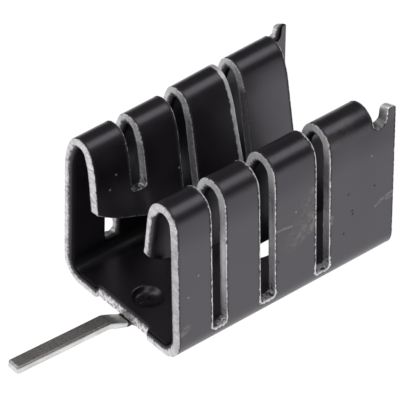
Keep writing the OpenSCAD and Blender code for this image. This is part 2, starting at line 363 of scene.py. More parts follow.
def ragged(loop, wavelengths, seed):
    """Even noise along a closed line, from -1 to 1: sines of random phase at whole numbers
    of waves round the line, so that its ends meet."""
    rng = np.random.default_rng(seed)
    step = np.linalg.norm(np.roll(loop, -1, axis=0) - loop, axis=1)
    t = (np.cumsum(step) - step) / step.sum()
    waves = np.unique(np.round(step.sum() / rng.uniform(*wavelengths, 40)).clip(1))
    phase, size = rng.uniform(0, 2 * np.pi, len(waves)), rng.uniform(0.4, 1, len(waves))
    wave = (size * np.sin(2 * np.pi * waves * t[:, None] + phase)).sum(axis=1)
    return wave / np.abs(wave).max()


def inside(points, loops):
    """True where a ray to the right of a point crosses the closed lines an odd number of times."""
    odd = np.zeros(len(points), bool)
    for loop in loops:
        a, b = loop, np.roll(loop, -1, axis=0)
        spans = (a[:, 1] > points[:, 1:]) != (b[:, 1] > points[:, 1:])
        rise = np.where(a[:, 1] == b[:, 1], 1, b[:, 1] - a[:, 1])
        at = a[:, 0] + (points[:, 1:] - a[:, 1]) / rise * (b[:, 0] - a[:, 0])
        odd ^= (spans & (at > points[:, :1])).sum(axis=1) % 2 == 1
    return odd


def clearance(points, loops):
    """Distance from each point to the nearest point of the closed lines."""
    near = np.full(len(points), np.inf)
    for loop in loops:
        d = (points[:, None, 0] - loop[:, 0]) ** 2 + (points[:, None, 1] - loop[:, 1]) ** 2
        near = np.minimum(near, np.sqrt(d.min(axis=1)))
    return near


centre = np.zeros((1, 2))
print("the middle of the blank lies inside:", inside(centre, [outline])[0],
      "and %.2f mm from its outline" % clearance(centre, [outline])[0])

# %% [markdown]
# The two faces share one triangulation, and the edge between them is a stack of rings that
# is carried round the outline. Everything is worked out as whole arrays on the flat blank.
# The bend comes last, so the same function serves for the channel and for the pin. The
# blank's own coordinates stay on the mesh as attributes, for the material to read.

# %% A piece of bent sheet from its drawing
JOIN = 1e-7                          # points nearer than this are one to the triangulation


def ring_strip(ring_a, ring_b):
    """Quads between two rings of vertex numbers that go round the same way."""
    return np.stack([ring_a, np.roll(ring_a, -1), np.roll(ring_b, -1), ring_b], axis=-1)


def face_triangles(flat, face_loops, rings):
    """Triangles of a trimmed face, wound counterclockwise: a triangulation of loops and grid
    that keeps the loops' edges, less the triangles whose middle lies outside."""
    edges = np.concatenate([np.stack([ring, np.roll(ring, -1)], axis=-1) for ring in rings])
    found = delaunay_2d_cdt(flat.tolist(), edges.tolist(), [], 0, JOIN)
    origin = np.array([ids[0] for ids in found[3]])
    triangles = origin[np.array(found[2])]
    triangles = triangles[inside(flat[triangles].mean(axis=1), face_loops)]
    a, b, c = (flat[triangles[:, k]] for k in range(3))
    turned = (b - a)[:, 0] * (c - a)[:, 1] - (b - a)[:, 1] * (c - a)[:, 0] < 0
    triangles[turned] = triangles[turned][:, ::-1]
    return triangles


def mesh_object(name, places, triangles, quads, blank):
    """Puts whole arrays of places, triangles and quads into a mesh at the origin, with the
    blank's coordinates and the edge value, 0 at a bare cut, as attributes. The volume is the
    sum of a . (b x c) / 6 over the triangles."""
    mesh = bpy.data.meshes.new(name)
    corners = np.concatenate([triangles.ravel(), quads.ravel()])
    sizes = np.concatenate([np.full(len(triangles), 3), np.full(len(quads), 4)])
    mesh.vertices.add(len(places))
    mesh.vertices.foreach_set("co", (places * MM).astype(np.float32).ravel())
    mesh.loops.add(len(corners))
    mesh.loops.foreach_set("vertex_index", corners.astype(np.int32))
    mesh.polygons.add(len(sizes))
    mesh.polygons.foreach_set("loop_start", (np.cumsum(sizes) - sizes).astype(np.int32))
    mesh.polygons.foreach_set("use_smooth", np.ones(len(sizes), bool))
    at_blank = mesh.attributes.new("blank", "FLOAT_VECTOR", "POINT")
    at_blank.data.foreach_set("vector", blank[:, :3].astype(np.float32).ravel())
    at_edge = mesh.attributes.new("edge", "FLOAT", "POINT")
    at_edge.data.foreach_set("value", blank[:, 3].astype(np.float32))
    mesh.update()
    mesh.validate()
    piece = bpy.data.objects.new(name, mesh)
    bpy.context.scene.collection.objects.link(piece)
    t = np.concatenate([triangles, quads[:, :3], quads[:, [0, 2, 3]]])
    a, b, c = (places[t[:, k]] for k in range(3))
    volume = float((a * np.cross(b, c)).sum() / 6)
    print(name, "has", len(t), "triangles and %.2f cubic mm" % volume)
    return piece


def sheet_mesh(name, rims, columns, rows, bend, room):
    """A sheet of two trimmed grids joined by rims. Each rim is a stack of rings (run, y, w,
    edge) from the outer face to the inner one. A rim with a cap is closed instead: its rings
    go on from the outer face and the cap's from the inner one, each to a middle point. Grid
    points keep room from the rims, and bend carries (run, y, w) into space."""
    face_loops = [rim["rings"][0][:, :2] for rim in rims]
    grid = np.stack(np.meshgrid(columns, rows), axis=-1).reshape(-1, 2)
    grid = grid[inside(grid, face_loops)]
    grid = grid[clearance(grid, face_loops) > room]
    flat = np.concatenate(face_loops + [grid])
    starts = np.cumsum([0] + [len(loop) for loop in face_loops])
    rings = [np.arange(a, b) for a, b in zip(starts, starts[1:])]
    triangles = face_triangles(flat, face_loops, rings)

    count = len(flat)
    face_w, face_edge = rims[0]["rings"][0][0, 2:]
    outer = np.column_stack([flat, np.full(count, face_w), np.full(count, face_edge)])
    points, total = [outer, outer * [1, 1, -1, 1]], 2 * count
    faces, quads = [triangles[:, ::-1], triangles + count], []
    for rim, ring in zip(rims, rings):
        if "cap" in rim:
            walls = [(ring, rim["rings"][1:], None, 1), (ring + count, rim["cap"][1:], None, -1)]
        else:
            walls = [(ring, rim["rings"][1:-1], ring + count, 1)]
        for first, stack, last, way in walls:
            levels = [first]
            for level in stack:
                points.append(level)
                levels.append(total + np.arange(len(level)))
                total += len(level)
            if last is None:
                points.append(stack[-1].mean(axis=0)[None])
                tip = np.full(len(levels[-1]), total)
                faces.append(np.stack([levels[-1], np.roll(levels[-1], -1), tip], axis=-1)[:, ::way])
                total += 1
            else:
                levels.append(last)
            quads += [ring_strip(a, b)[:, ::way] for a, b in zip(levels, levels[1:])]
    points = np.concatenate(points)
    places = bend(points[:, 0], points[:, 1], points[:, 2])
    return mesh_object(name, places, np.concatenate(faces), np.concatenate(quads), points)


print("two rings of 4 points make", len(ring_strip(np.arange(4), np.arange(4, 8))), "quads")

# %% [markdown]
# The punch came from the inner side. It drew the coated face round into the cut there, so
# the inner half of each edge is a wide black roll-over, and only the outer part is bare,
# torn and burred. A bevel would be alike everywhere, but the real roll-over isn't, so its
# width is worked out for each point of a cut from its place on the blank.

# %% How far the punch drew the coat into the cut
COATED, SUPPORT_ROOM = 0.2, 0.06     # value of the full coat; flat face left beside a roll-over
LEAST_SUPPORT = 0.18
EAR_FROM, RELIEF_TO = 5.7, -11.1     # y where the ears begin, and where the pin's relief ends
WIDE_START, WIDE_REACH = 0.13, 0.26  # of a wide roll-over: height where it starts, reach along the face
NARROW_START, NARROW_REACH, NARROW_COAT = 0.28, 0.06, 0.25       # what a narrow one has less
RELIEF_START, RELIEF_COAT = 0.2, 0.4                             # what the pin's relief has less
TRIM_START, TRIM_REACH, TRIM_COAT = -0.37, 0.04, 0.8             # the right ear, trimmed last
TIGHT_REACH, FREE_REACH = 0.14, 0.3
RELIEF_RUN, FOOT_TIGHT_RUN, FOOT_TIGHT_Y = 3.3, 22, -10.4


def soften(values):
    """Mean of each value and its two neighbours on either side, round a closed line."""
    return np.mean([np.roll(values, k) for k in range(-2, 3)], axis=0)


def roll_over(loop):
    """For each point of a cut: where its roll-over starts through the sheet, how far it
    reaches along the face, and how much coat it keeps. It is wide on the legs of a fold that
    turn their inner side to the right, narrower on the others and at corners, and missing on
    the right ear, which was trimmed last."""
    run, y, left = np.abs(loop[:, 0]), loop[:, 1], loop[:, 0] < 0
    past = smooth((run - of_side(loop[:, 0], crest_run)) / 1.6 + 0.5)
    narrow = np.where(left, past, 1 - past) * smooth((run - BASE_RUN) / 1.5)
    relief = ((y < RELIEF_TO) & (run < RELIEF_RUN) & (y > Y_FRONT + 0.18)).astype(float)
    trimmed = ((y > EAR_FROM) & ~left) * smooth((run - 11.0) / 4.0)
    start = WIDE_START - NARROW_START * narrow - RELIEF_START * relief
    start = start * (1 - trimmed) + TRIM_START * trimmed
    reach = (WIDE_REACH - NARROW_REACH * narrow) * (1 - trimmed) + TRIM_REACH * trimmed
    tight = (y > EAR_FROM) | (y < RELIEF_TO) & (run < WALL_FOOT)
    tight = tight | (run > FOOT_TIGHT_RUN) & (y < FOOT_TIGHT_Y)
    reach = np.minimum(reach, np.where(tight, TIGHT_REACH, FREE_REACH))
    kept = (1 - NARROW_COAT * narrow - RELIEF_COAT * relief) * (1 - TRIM_COAT * trimmed)
    return soften(start), soften(reach), soften(kept)


roll_start = roll_over(outline)[0]
print("roll-over starts from w %.2f to %.2f" % (roll_start.min(), roll_start.max()))

# %% [markdown]
# A sheared edge is never clean: its burr has scallops, the torn part has small bites, and
# both are roughest on the floors of the slots. Handling then rubbed the coat from some
# edges. Noise that runs along the line shapes all of it. The rim's profile is written in
# threes: distance in from the cut, height through the sheet, and how much coat is left,
# with 0 for bare metal.

# %% The sheared rim of the channel
ROLL_ANGLES = np.radians([0, 15, 30, 45, 60, 75, 90])
ROLL_COATS = (0.035, 0.065, 0.1, 0.14, 0.18, COATED, COATED)
FLOOR_ABOVE, FLOOR_BELOW = 1.1, 0.3  # runs above the wall's foot and the base that bound a slot's floor


def sheared_rim(loop, seed, burr=1.0, tilt=0.0, worn=0.0):
    """Rings round a cut edge: from the outer face over a ragged burr, down the torn part of
    the cut, then round a quarter ellipse to the inner face. Each ring is the loop moved in
    along its normals. The cut may be tilted: it then lies further in towards the inner face.
    Worn edges have lost more coat."""
    normal, count = left_normals(loop), len(loop)
    run, y = np.abs(loop[:, 0]), loop[:, 1]
    between_ends = (y > Y_FRONT + 1) * (y < Y_BACK - 1)
    at_floor = smooth((WALL_FOOT + FLOOR_ABOVE - run) / 0.5) * (run > BASE_RUN + FLOOR_BELOW) * between_ends
    at_relief = smooth((RELIEF_HALF[RIGHT] - run) / 0.3) * (y < Y_FRONT + 0.5)
    scallop = ragged(loop, (0.5, 1.6), seed) * burr * (1 + 0.8 * at_floor)
    tear = ragged(loop, (0.35, 0.8), seed + 1) * burr * (1 + 4 * at_floor + 2 * at_relief)
    wave = ragged(loop, (2.0, 6.0), seed + 2) * burr
    start, reach, kept = roll_over(loop)
    start = start + 0.03 * wave + 0.12 * at_relief * ragged(loop, (0.35, 0.9), seed + 3)
    support = np.maximum(reach + SUPPORT_ROOM, LEAST_SUPPORT)
    profile = [
        (support, HALF_T, COATED), (0.09, HALF_T, 0.11 - worn),
        (0.04 + 0.015 * scallop, HALF_T + 0.006 + 0.011 * scallop, 0.048 - worn),
        (0.012 + 0.012 * tear, HALF_T - 0.012 + 0.012 * scallop, 0.015 - worn),
        (0.004 + 0.008 * scallop, HALF_T - 0.07 + 0.02 * wave, 0.0),
        (0.012 + 0.012 * tear, 0.5 * (HALF_T + start), 0.0),
        (0.006 + 0.004 * wave, start + 0.06, 0.01),
    ]
    for angle, coat in zip(ROLL_ANGLES, ROLL_COATS):
        profile.append((reach * (1 - np.cos(angle)), start - (HALF_T + start) * np.sin(angle), coat * kept))
    profile.append((support, -HALF_T, COATED))
    rings = []
    for inset, height, coat in profile:
        inset, height, coat = (value + np.zeros(count) for value in (inset, height, coat))
        place = loop + normal * (inset - tilt * height)[:, None]
        rings.append(np.column_stack([place, height, coat]))
    for ring in (rings[0], rings[-1]):
        ring[:, :2] = loop + normal * support[:, None]
    return {"rings": rings}


RUBBED, CHIPPED = 0.045, 0.6         # coat lost on rear edges of the right fins, and of one left fin
RELIEF_TILT, RELIEF_TILT_SPAN = 0.08, 0.2
in_relief = of_side(outline[:, 0], RELIEF_HALF) - np.abs(outline[:, 0])
relief_tilt = RELIEF_TILT * np.clip(in_relief / RELIEF_TILT_SPAN, 0, 1) * (outline[:, 1] < 0)
rubbed = RUBBED * (np.abs(outline[:, 1] - SLOTS[RIGHT][1][0]) < 0.1) * (outline[:, 0] > WALL_FOOT)
rims = [sheared_rim(outline, 11, tilt=relief_tilt, worn=rubbed)]
left_slot_3 = slots[3]
at_front_edge = left_slot_3[:, 1] < SLOTS[LEFT][2][0] + SLOT_SKEW[LEFT, 2] + 0.05
chipped = CHIPPED * at_front_edge * smooth((np.abs(left_slot_3[:, 0]) - 15) / 2)
worn = [RUBBED * (slots[k][:, 1] < SLOTS[RIGHT][2 * k][0] + 0.1) for k in (0, 1)]
worn += [0, chipped * (0.6 + 0.5 * ragged(left_slot_3, (0.5, 1.6), 90))]
rims += [sheared_rim(slot, 20 + 5 * k, worn=worn[k]) for k, slot in enumerate(slots)]
print("rims:", len(rims), "with", sum(len(r["rings"]) * len(r["rings"][0]) for r in rims), "points")

# %% [markdown]
# The screw hole is a plain punched hole. The stake is a stud that was pressed down out of
# the base through the pin's eye: it leaves a shallow round dimple above with faint marks of
# the tool, and a flared head below. Both are circles carried along a profile, like a lathe.

# %% Screw hole and stake
STAKE_Y, HOLE_R = -9.4, 1.8
HOLE_STEPS, STAKE_STEPS = 72, 96
STAR_ARMS, STAR_TURN, STAR_DEPTHS = 4, 0.35, (0.008, 0.018, 0.025, 0.025, 0.015)
ASLANT = np.array([1.0, 0.9])        # the way in which the punch slid


def circle_rings(centre_y, turns, profile):
    """Rings of a turned shape about an upright axis on the base: each three of the profile
    gives radius, w and coat, and a ring's points are the radius times cosine and sine. It
    runs clockwise."""
    a = -np.linspace(0, 2 * np.pi, turns, endpoint=False)
    return [np.column_stack([r * np.cos(a), centre_y + r * np.sin(a), np.full(turns, w), np.full(turns, e)])
            for r, w, e in profile]


hole_loop = circle_rings(0, HOLE_STEPS, [(HOLE_R, 0, 0)])[0][:, :2]
rims.append(sheared_rim(hole_loop, 60, burr=0.6))
stud_profile = [(1.32, HALF_T, COATED), (1.1, HALF_T, COATED), (1.0, HALF_T + 0.01, COATED),
                (0.95, 0.49, 0.1), (0.95, 0.65, 0.08), (1.02, 0.72, 0.05), (1.16, 0.86, 0.03),
                (1.15, 0.89, 0.03), (1.05, 0.895, 0.02), (0.6, 0.89, 0.03), (0.2, 0.885, 0.03)]
dimple_profile = [(1.32, 0), (1.2, 0.004), (1.1, 0.022), (1.02, 0.09), (0.93, 0.195), (0.83, 0.3),
                  (0.72, 0.375), (0.6, 0.42), (0.5, 0.435), (0.36, 0.44), (0.2, 0.44)]
dimple = circle_rings(STAKE_Y, STAKE_STEPS, [(r, depth - HALF_T, COATED) for r, depth in dimple_profile])
turned = np.arctan2(dimple[0][:, 1] - STAKE_Y, dimple[0][:, 0])
star = np.clip(np.cos(STAR_ARMS * (turned - STAR_TURN)), 0, 1) ** 3
for ring, depth in zip(dimple[-len(STAR_DEPTHS):], STAR_DEPTHS):
    ring[:, 2] += depth * star
shifts = np.interp(np.arange(len(dimple)), [0, 2, 7], [0, 0.11, -0.10])
for ring, shift in zip(dimple, shifts):
    ring[:, :2] += ASLANT * shift
rims.append({"rings": circle_rings(STAKE_Y, STAKE_STEPS, stud_profile), "cap": dimple})
dimple_z = SHEET_MID - dimple[8][:, 2]
print("dimple floor from z %.2f to %.2f" % (dimple_z.min(), dimple_z.max()))

# %% [markdown]
# The channel is bent in one go, as a press tool would close on it. Lines of the grid lie
# close together where the sheet turns and far apart where it stays flat, so the mesh is
# smooth with few faces.

# %% Bend the channel
ROWS, ROW_ROOM, CHANNEL_ROOM = 56, 0.3, 0.12


def grid_lines(stops):
    """Even spacing between stops, each given as (place, number of parts up to the next one)."""
    places = [np.linspace(a, b, n, endpoint=False) for (a, n), (b, _) in zip(stops, stops[1:])]
    return np.concatenate(places + [[stops[-1][0]]])


def side_columns(side):
    """Lines of the grid on one side, closer together on the bends."""
    gentle, tight, last = (length for length, _ in FOLD_TURNS[side])
    head = WALL_FOOT + WALL_RUN[side]
    return grid_lines([(0.18, 12), (BASE_RUN, 13), (WALL_FOOT, 24), (head, 6), (head + gentle, 20),
                       (head + gentle + tight, 6), (head + gentle + tight + last, 24),
                       (float(falling(folded_legs[side])(TAB_EDGE)), 1)])


columns = np.concatenate([-side_columns(LEFT)[::-1], side_columns(RIGHT)])
rows = np.linspace(Y_FRONT + ROW_ROOM, Y_BACK - ROW_ROOM, ROWS)
channel = sheet_mesh("finned_channel_sheet", rims, columns, rows, fold_sheet, CHANNEL_ROOM)

# %% [markdown]
# The pin is a stamped strip with an eye at one end. It lies flat under the base, steps up
# at the front edge with two small bends, and runs out straight. The same sheet function
# makes it from its own drawing and its own path.

# %% The solder pin
PIN_HALF, PIN_MID, EYE_R, PIN_SIDE = 0.215, -0.225, 1.79, 0.595
JOGGLE, SHANK_SLOPE, PIN_BEND_R, RAMP_RUN = np.radians(25), np.radians(2.7), 0.575, 1.52
FLAT_RUN, SHANK_RUN = 1.9, 9.0       # from the stake's axis to the first bend; past the last one
PIN_TIP, TIP_CUT, PIN_STEP = 11.80, 0.14, 0.14
SWELL, SWELL_FROM, SWELL_SPAN = 0.22, 2.3, 0.7
EYE_INSIDE, PIN_ROOM = 1.7, 0.08
pin_legs = [(EYE_R + FLAT_RUN, 0), (PIN_BEND_R * JOGGLE, JOGGLE), (RAMP_RUN, 0),
            (PIN_BEND_R * (JOGGLE - SHANK_SLOPE), SHANK_SLOPE - JOGGLE), (SHANK_RUN, 0)]


def bend_pin(run, across, w):
    """Point of the pin at run from the stake's axis towards the tip, across its width, and w
    below its middle: the joggled path, moved w along its lower normal. Outside the base the
    tin is thicker, as on a pin that was dipped after it was staked."""
    w = w * (1 + SWELL * smooth((run - SWELL_FROM) / SWELL_SPAN))
    forward, up, heading = bent_path(run + EYE_R, pin_legs)
    forward, up = forward + w * np.sin(heading), up - w * np.cos(heading)
    return np.stack([across, STAKE_Y + EYE_R - forward, PIN_MID + up], axis=-1)


def pin_rim(loop, seed):
    """Rings round the pin's cut edge: the loop moved in along its normals, rounded on top, with a
    slight burr below. The edge value is the distance in from the cut."""
    normal = left_normals(loop)
    wave, fine = ragged(loop, (1.5, 4.0), seed), ragged(loop, (0.4, 0.9), seed + 1)
    profile = [(0.12, PIN_HALF), (0.05, PIN_HALF), (0.02, PIN_HALF - 0.012),
               (0.006 + 0.004 * fine, PIN_HALF - 0.05), (0.008 + 0.006 * wave, 0.02 + 0.02 * wave),
               (0.006 + 0.004 * wave, -PIN_HALF + 0.13), (0.02, -PIN_HALF + 0.085),
               (0.055, -PIN_HALF + 0.035), (0.11, -PIN_HALF + 0.008), (0.16, -PIN_HALF)]
    rings = []
    for inset, height in profile:
        inset, height = inset + np.zeros(len(loop)), height + np.zeros(len(loop))
        rings.append(np.column_stack([loop + normal * inset[:, None], height, inset]))
    return {"rings": rings}


neck = np.degrees(np.arcsin(PIN_SIDE / EYE_R))
pin_outline = np.concatenate([arc((0, 0), EYE_R, 360 - neck, neck, 60),
                              [[PIN_TIP - TIP_CUT, PIN_SIDE], [PIN_TIP, PIN_SIDE - TIP_CUT],
                               [PIN_TIP, TIP_CUT - PIN_SIDE], [PIN_TIP - TIP_CUT, -PIN_SIDE]]])
pin_outline = wound(subdivide(pin_outline, PIN_STEP), 1)
eye_profile = [(1.34, PIN_HALF, 0.12), (1.24, PIN_HALF, 0.05), (1.2, PIN_HALF - 0.03, 0.02),
               (0.98, -0.02, 0.0), (0.975, -0.12, 0.0), (1.0, -PIN_HALF + 0.02, 0.02),
               (1.08, -PIN_HALF, 0.06), (1.34, -PIN_HALF, 0.12)]
eye_rim = {"rings": circle_rings(0, HOLE_STEPS, eye_profile)}
ramp_run = FLAT_RUN + PIN_BEND_R * JOGGLE
pin_columns = grid_lines([(-EYE_INSIDE, 18), (FLAT_RUN, 4), (ramp_run, 8), (ramp_run + RAMP_RUN, 4),
                          (FLAT_RUN + PIN_BEND_R * (2 * JOGGLE - SHANK_SLOPE) + RAMP_RUN, 44), (PIN_TIP, 1)])
pin = sheet_mesh("solder_pin_strip", [pin_rim(pin_outline, 70), eye_rim], pin_columns,
                 np.linspace(-EYE_INSIDE, EYE_INSIDE, 19), bend_pin, PIN_ROOM)

# %% [markdown]
# Materials are drawn with nodes, but a long sum of Math nodes is hard to read. A small
# class wraps a socket so that ordinary Python operators add the nodes. A mask is then a
# product of fades, which reads like a sentence about the place that it covers.

# %% Sockets as Python values
class Flow:
    """A socket of a material. The operators add Math nodes; node() adds any other node."""

    def __init__(self, tree, socket=None):
        self.tree, self.socket = tree, socket

    def node(self, kind, settings=None, sockets=None, out=0):
        """A new node of this kind, its settings made first, then its sockets set or linked."""
        made = self.tree.nodes.new(kind)
        for name, value in (settings or {}).items():
            setattr(made, name, value)
        for key, value in (sockets or {}).items():
            if isinstance(value, Flow):
                self.tree.links.new(value.socket, made.inputs[key])
            else:
                made.inputs[key].default_value = value
        return Flow(self.tree, made.outputs[out])

    def output(self, key):
        """Another output of the node that this socket belongs to."""
        return Flow(self.tree, self.socket.node.outputs[key])

    def math(self, operation, a, b=0.0):
        """One Math node of two values, each a number or a socket."""
        return self.node("ShaderNodeMath", {"operation": operation}, {0: a, 1: b})

    def __add__(self, other):
        return self.math("ADD", self, other)

    def __radd__(self, other):
        return self.math("ADD", other, self)

    def __sub__(self, other):
        return self.math("SUBTRACT", self, other)

    def __rsub__(self, other):
        return self.math("SUBTRACT", other, self)

    def __mul__(self, other):
        return self.math("MULTIPLY", self, other)

    def __rmul__(self, other):
        return self.math("MULTIPLY", other, self)

    def __truediv__(self, other):
        return self.math("DIVIDE", self, other)

    def __rtruediv__(self, other):
        return self.math("DIVIDE", other, self)

    def __abs__(self):
        return self.math("ABSOLUTE", self)

    def most(self, other):
        """The greater of two values, which joins two masks."""
        return self.math("MAXIMUM", self, other)

    def least(self, other):
        """The smaller of two values."""
        return self.math("MINIMUM", self, other)

    def fade(self, low, high):
        """0 at low, 1 at high, smooth between; low may be above high."""
        return self.node("ShaderNodeMapRange", {"interpolation_type": "SMOOTHSTEP"},
                         {"Value": self, "From Min": low, "From Max": high})

    def band(self, low, high, soft=0.2):
        """1 between two limits, fading to 0 within soft outside them."""
        return self.fade(low - soft, low) * self.fade(high + soft, high)

    def scaled(self, x, y, z):
        """This vector with each axis multiplied by its own factor."""
        return self.node("ShaderNodeVectorMath", {"operation": "MULTIPLY"}, {0: self, 1: (x, y, z)})

    def noise(self, scale, detail=2.0, rough=0.5):
        """Soft random values about 0.5, with about scale lumps to each unit of this vector."""
        return self.node("ShaderNodeTexNoise", None,
                         {"Vector": self, "Scale": scale, "Detail": detail, "Roughness": rough})

    def blend(self, a, b):
        """Colour a where this value is 0, colour b where it is 1."""
        return self.node("ShaderNodeMix", {"data_type": "RGBA"}, {0: self, 6: a, 7: b}, out=2)

    def axes(self):
        """The three parts of this vector."""
        parts = self.node("ShaderNodeSeparateXYZ", None, {0: self})
        return [parts.output(k) for k in range(3)]


print("a socket knows", [name for name in vars(Flow) if not name.startswith("_")])

# %% [markdown]
# Every finish of this part starts the same way: a new material with its one shader, values
# from the mesh to place things by, and at the end values linked to the shader's sockets.
# These steps could be repeated for each finish, but as functions they're written once.

# %% A new material and what feeds it
BUMP_STRENGTH, BUMP_DEPTH = 0.5, 0.000012     # depth in metres


def joined(masks):
    """The strongest of several masks."""
    total = masks[0]
    for mask in masks[1:]:
        total = total.most(mask)
    return total


def new_material(name):
    """An empty material: its start for expressions, and its shader to feed."""
    material = bpy.data.materials.new(name)
    material.use_nodes = True
    shader = material.node_tree.nodes["Principled BSDF"]
    return material, Flow(material.node_tree), shader


def attribute(start, name, out):
    """One output of an attribute of the mesh: 1 for a vector, 2 for a number."""
    return start.node("ShaderNodeAttribute", {"attribute_name": name}, None, out)


def feed(start, shader, **values):
    """Links values to the shader's sockets, named with _ for a space."""
    for name, value in values.items():
        start.tree.links.new(value.socket, shader.inputs[name.replace("_", " ")])


def mix_surface(start, factor, shader, other):
    """Gives the material the shader where the factor is 0 and the other one where it is 1."""
    mixed = start.node("ShaderNodeMixShader", None,
                       {0: factor, 1: Flow(start.tree, shader.outputs[0]), 2: other})
    start.tree.links.new(mixed.socket, start.tree.nodes["Material Output"].inputs["Surface"])


def fine_bump(start, height):
    """A normal tilted by the slope of a height, of which 1 stands for BUMP_DEPTH."""
    return start.node("ShaderNodeBump", None,
                      {"Strength": BUMP_STRENGTH, "Distance": BUMP_DEPTH, "Height": height})


black, start, shader = new_material("black_sheet_finish")
print("material", black.name, "starts with", len(black.node_tree.nodes), "nodes")

# %% [markdown]
# The finish is a satin black coat that was on the sheet before it was punched, so every
# cut edge shows bare aluminium. One shader carries both, with a mask from the amount of
# coat that the rim was given. Noise chips the mask, and it reaches further where the fold
# cracked the coat, round the floors of the slots, and on one left fin whose edge flaked.

# %% Black coat and where it is gone
blank, edge = attribute(start, "blank", 1), attribute(start, "edge", 2)
across, along, through = blank.axes()
on_burr = through.fade(0.30, 0.41)
on_right, in_front = across.fade(-1.0, 1.0), along.fade(-10.2, -10.8)
at_crest = abs(across).fade(14.5, 17.2) * abs(across).fade(20.0, 19.2) * along.fade(5.8, 5.5)
past_left_crest = across.fade(-16.9, -17.9)
cracked = on_right * 0.025 + in_front * on_right.most(past_left_crest) * 0.055
cracked = cracked * at_crest * through.fade(0.3, 0.1)

skew_from = crest_run[LEFT] + SKEW_PAST
skew_to = float(falling(folded_legs[LEFT])(FLANGE_FLOORS[2]))
skew = (abs(across) - skew_from).most(0.0) * (SLOT_SKEW[LEFT, 2] / (skew_to - skew_from))
from_slot_3 = skew + SLOTS[LEFT][2][0] - along
flaked = (from_slot_3 + (blank.noise(2.6, 4.0, 0.75) - 0.5) * 0.45).fade(0.34, 0.28)
flaked = flaked * from_slot_3.fade(-0.3, -0.2) * across.fade(-14.5, -16.5) * on_burr

at_floor = across.fade(5.3, 5.6) * across.fade(7.6, 6.6) * along.fade(-10.5, -10.0) * along.fade(6.5, 6.0)
floor_burr = at_floor * on_burr * edge.fade(0.19, 0.15) * 0.075
chips = (blank.noise(5.5, 3.0, 0.6) - 0.5) * (0.12 + on_burr * 0.22)
bare = (edge - cracked - floor_burr + chips).fade(0.085, 0.03).most(flaked)

mottle = blank.noise(0.45, 3.0, 0.55)
coat_tone = mottle.blend((0.0035, 0.003, 0.004, 1), (0.0135, 0.0105, 0.013, 1))
print("black coat:", len(black.node_tree.nodes), "nodes for the coat and its edge")

# %% [markdown]
# Bare cuts aren't alike. The shear left streaks through the thickness, the floors of the
# slots are torn light and dark, the right ear's fresh cut is bright, and others are dull with
# grit. The cuts on the crests get the same bright tone as a painted highlight, for the light
# from above that reaches them there. Each place is a mask on the blank that pulls the tone
# to its own colour, the wider ones first.

# %% Tones of the bare cuts
# The second bright tone serves both the right ear's fresh cut and the painted highlight on the crests' cuts.
DULL_CUT, FRESH_CUT_AND_HIGHLIGHT = (0.2, 0.195, 0.2, 1), (1.0, 0.99, 0.995, 1)
TORN_DARK, TORN_LIGHT = (0.08, 0.075, 0.08, 1), (1.0, 0.99, 0.99, 1)
streaks = blank.scaled(9.0, 9.0, 0.9).noise(1.0, 3.0, 0.65)
patches = blank.noise(1.6, 3.0, 0.65)
on_right_wall = across.band(6.5, 15.5, 2.0)
on_left_flange = across.fade(-17.0, -18.5)
cut_tone = (streaks * 0.6 + patches * 0.4).fade(0.32, 0.66)
cut_tone = cut_tone.blend((0.44, 0.43, 0.44, 1), (0.93, 0.92, 0.925, 1))
behind_front = on_right_wall * along.fade(-11.3, -11.0) * 0.55
cut_tone = behind_front.blend(cut_tone, (0.95, 0.94, 0.95, 1))
torn = across.band(5.6, 7.0, 0.4) * along.band(-10.5, 6.0, 0.5) * (1 - on_burr * 0.85)
torn = torn.most(across.band(-2.6, 2.6, 0.1) * along.fade(-10.9, -11.1) * 0.5)
torn_tone = blank.noise(3.2, 3.0, 0.7).fade(0.40, 0.58).blend(TORN_DARK, TORN_LIGHT)
cut_tone = torn.blend(cut_tone, torn_tone)
beside_flakes = on_left_flange * along.band(0.2, 1.1) * 0.8
cut_tone = beside_flakes.blend(cut_tone, (0.97, 0.965, 0.97, 1))

grit = blank.noise(13.0, 3.0, 0.7).fade(0.62, 0.36)
on_right_leg = on_right_wall * along.fade(-11.2, -11.4) * 0.25
in_left_slots = on_left_flange * along.fade(-10.5, -10.0) * (1 - along.band(0.3, 1.1)) * 0.4
in_left_slots = in_left_slots.most(on_left_flange * along.band(1.4, 2.0) * 0.85)
in_notch = across.fade(14.0, 15.5) * along.band(5.6, 6.4) * 0.75
in_window = across.band(-7.4, -5.5, 0.5) * along.band(-8.0, -7.2) * 0.35
in_slot_1 = on_right_wall * along.band(-8.8, -6.9) * through.fade(0.2, -0.35) * 0.75
duller = joined([on_right_leg, in_left_slots * (0.55 + grit), in_notch, in_window, in_slot_1])
# The crests are spared this darkening, as part of their painted highlight.
cut_tone = (duller * (1 - at_crest * 0.8)).blend(cut_tone, DULL_CUT)

on_right_ear = across.fade(16.9, 17.6) * along.fade(6.4, 6.6)
# Painted highlight: cuts on the crests behind the front are pulled to the bright tone, stronger on the right,
# for the light from above that they catch.
painted_crest_highlight = at_crest * (1 - in_front) * (0.35 + on_right * 0.4)
cut_tone = on_right_ear.most(painted_crest_highlight).blend(cut_tone, FRESH_CUT_AND_HIGHLIGHT)
print("black coat:", len(black.node_tree.nodes), "nodes with its bare cuts")

# %% [markdown]
# A mark could be painted on a picture, but a soft spot or a line placed on the blank stays
# sharp and follows the bend. Places are measured as y and height on the bent part, where
# they are seen, and turned into places on the blank.

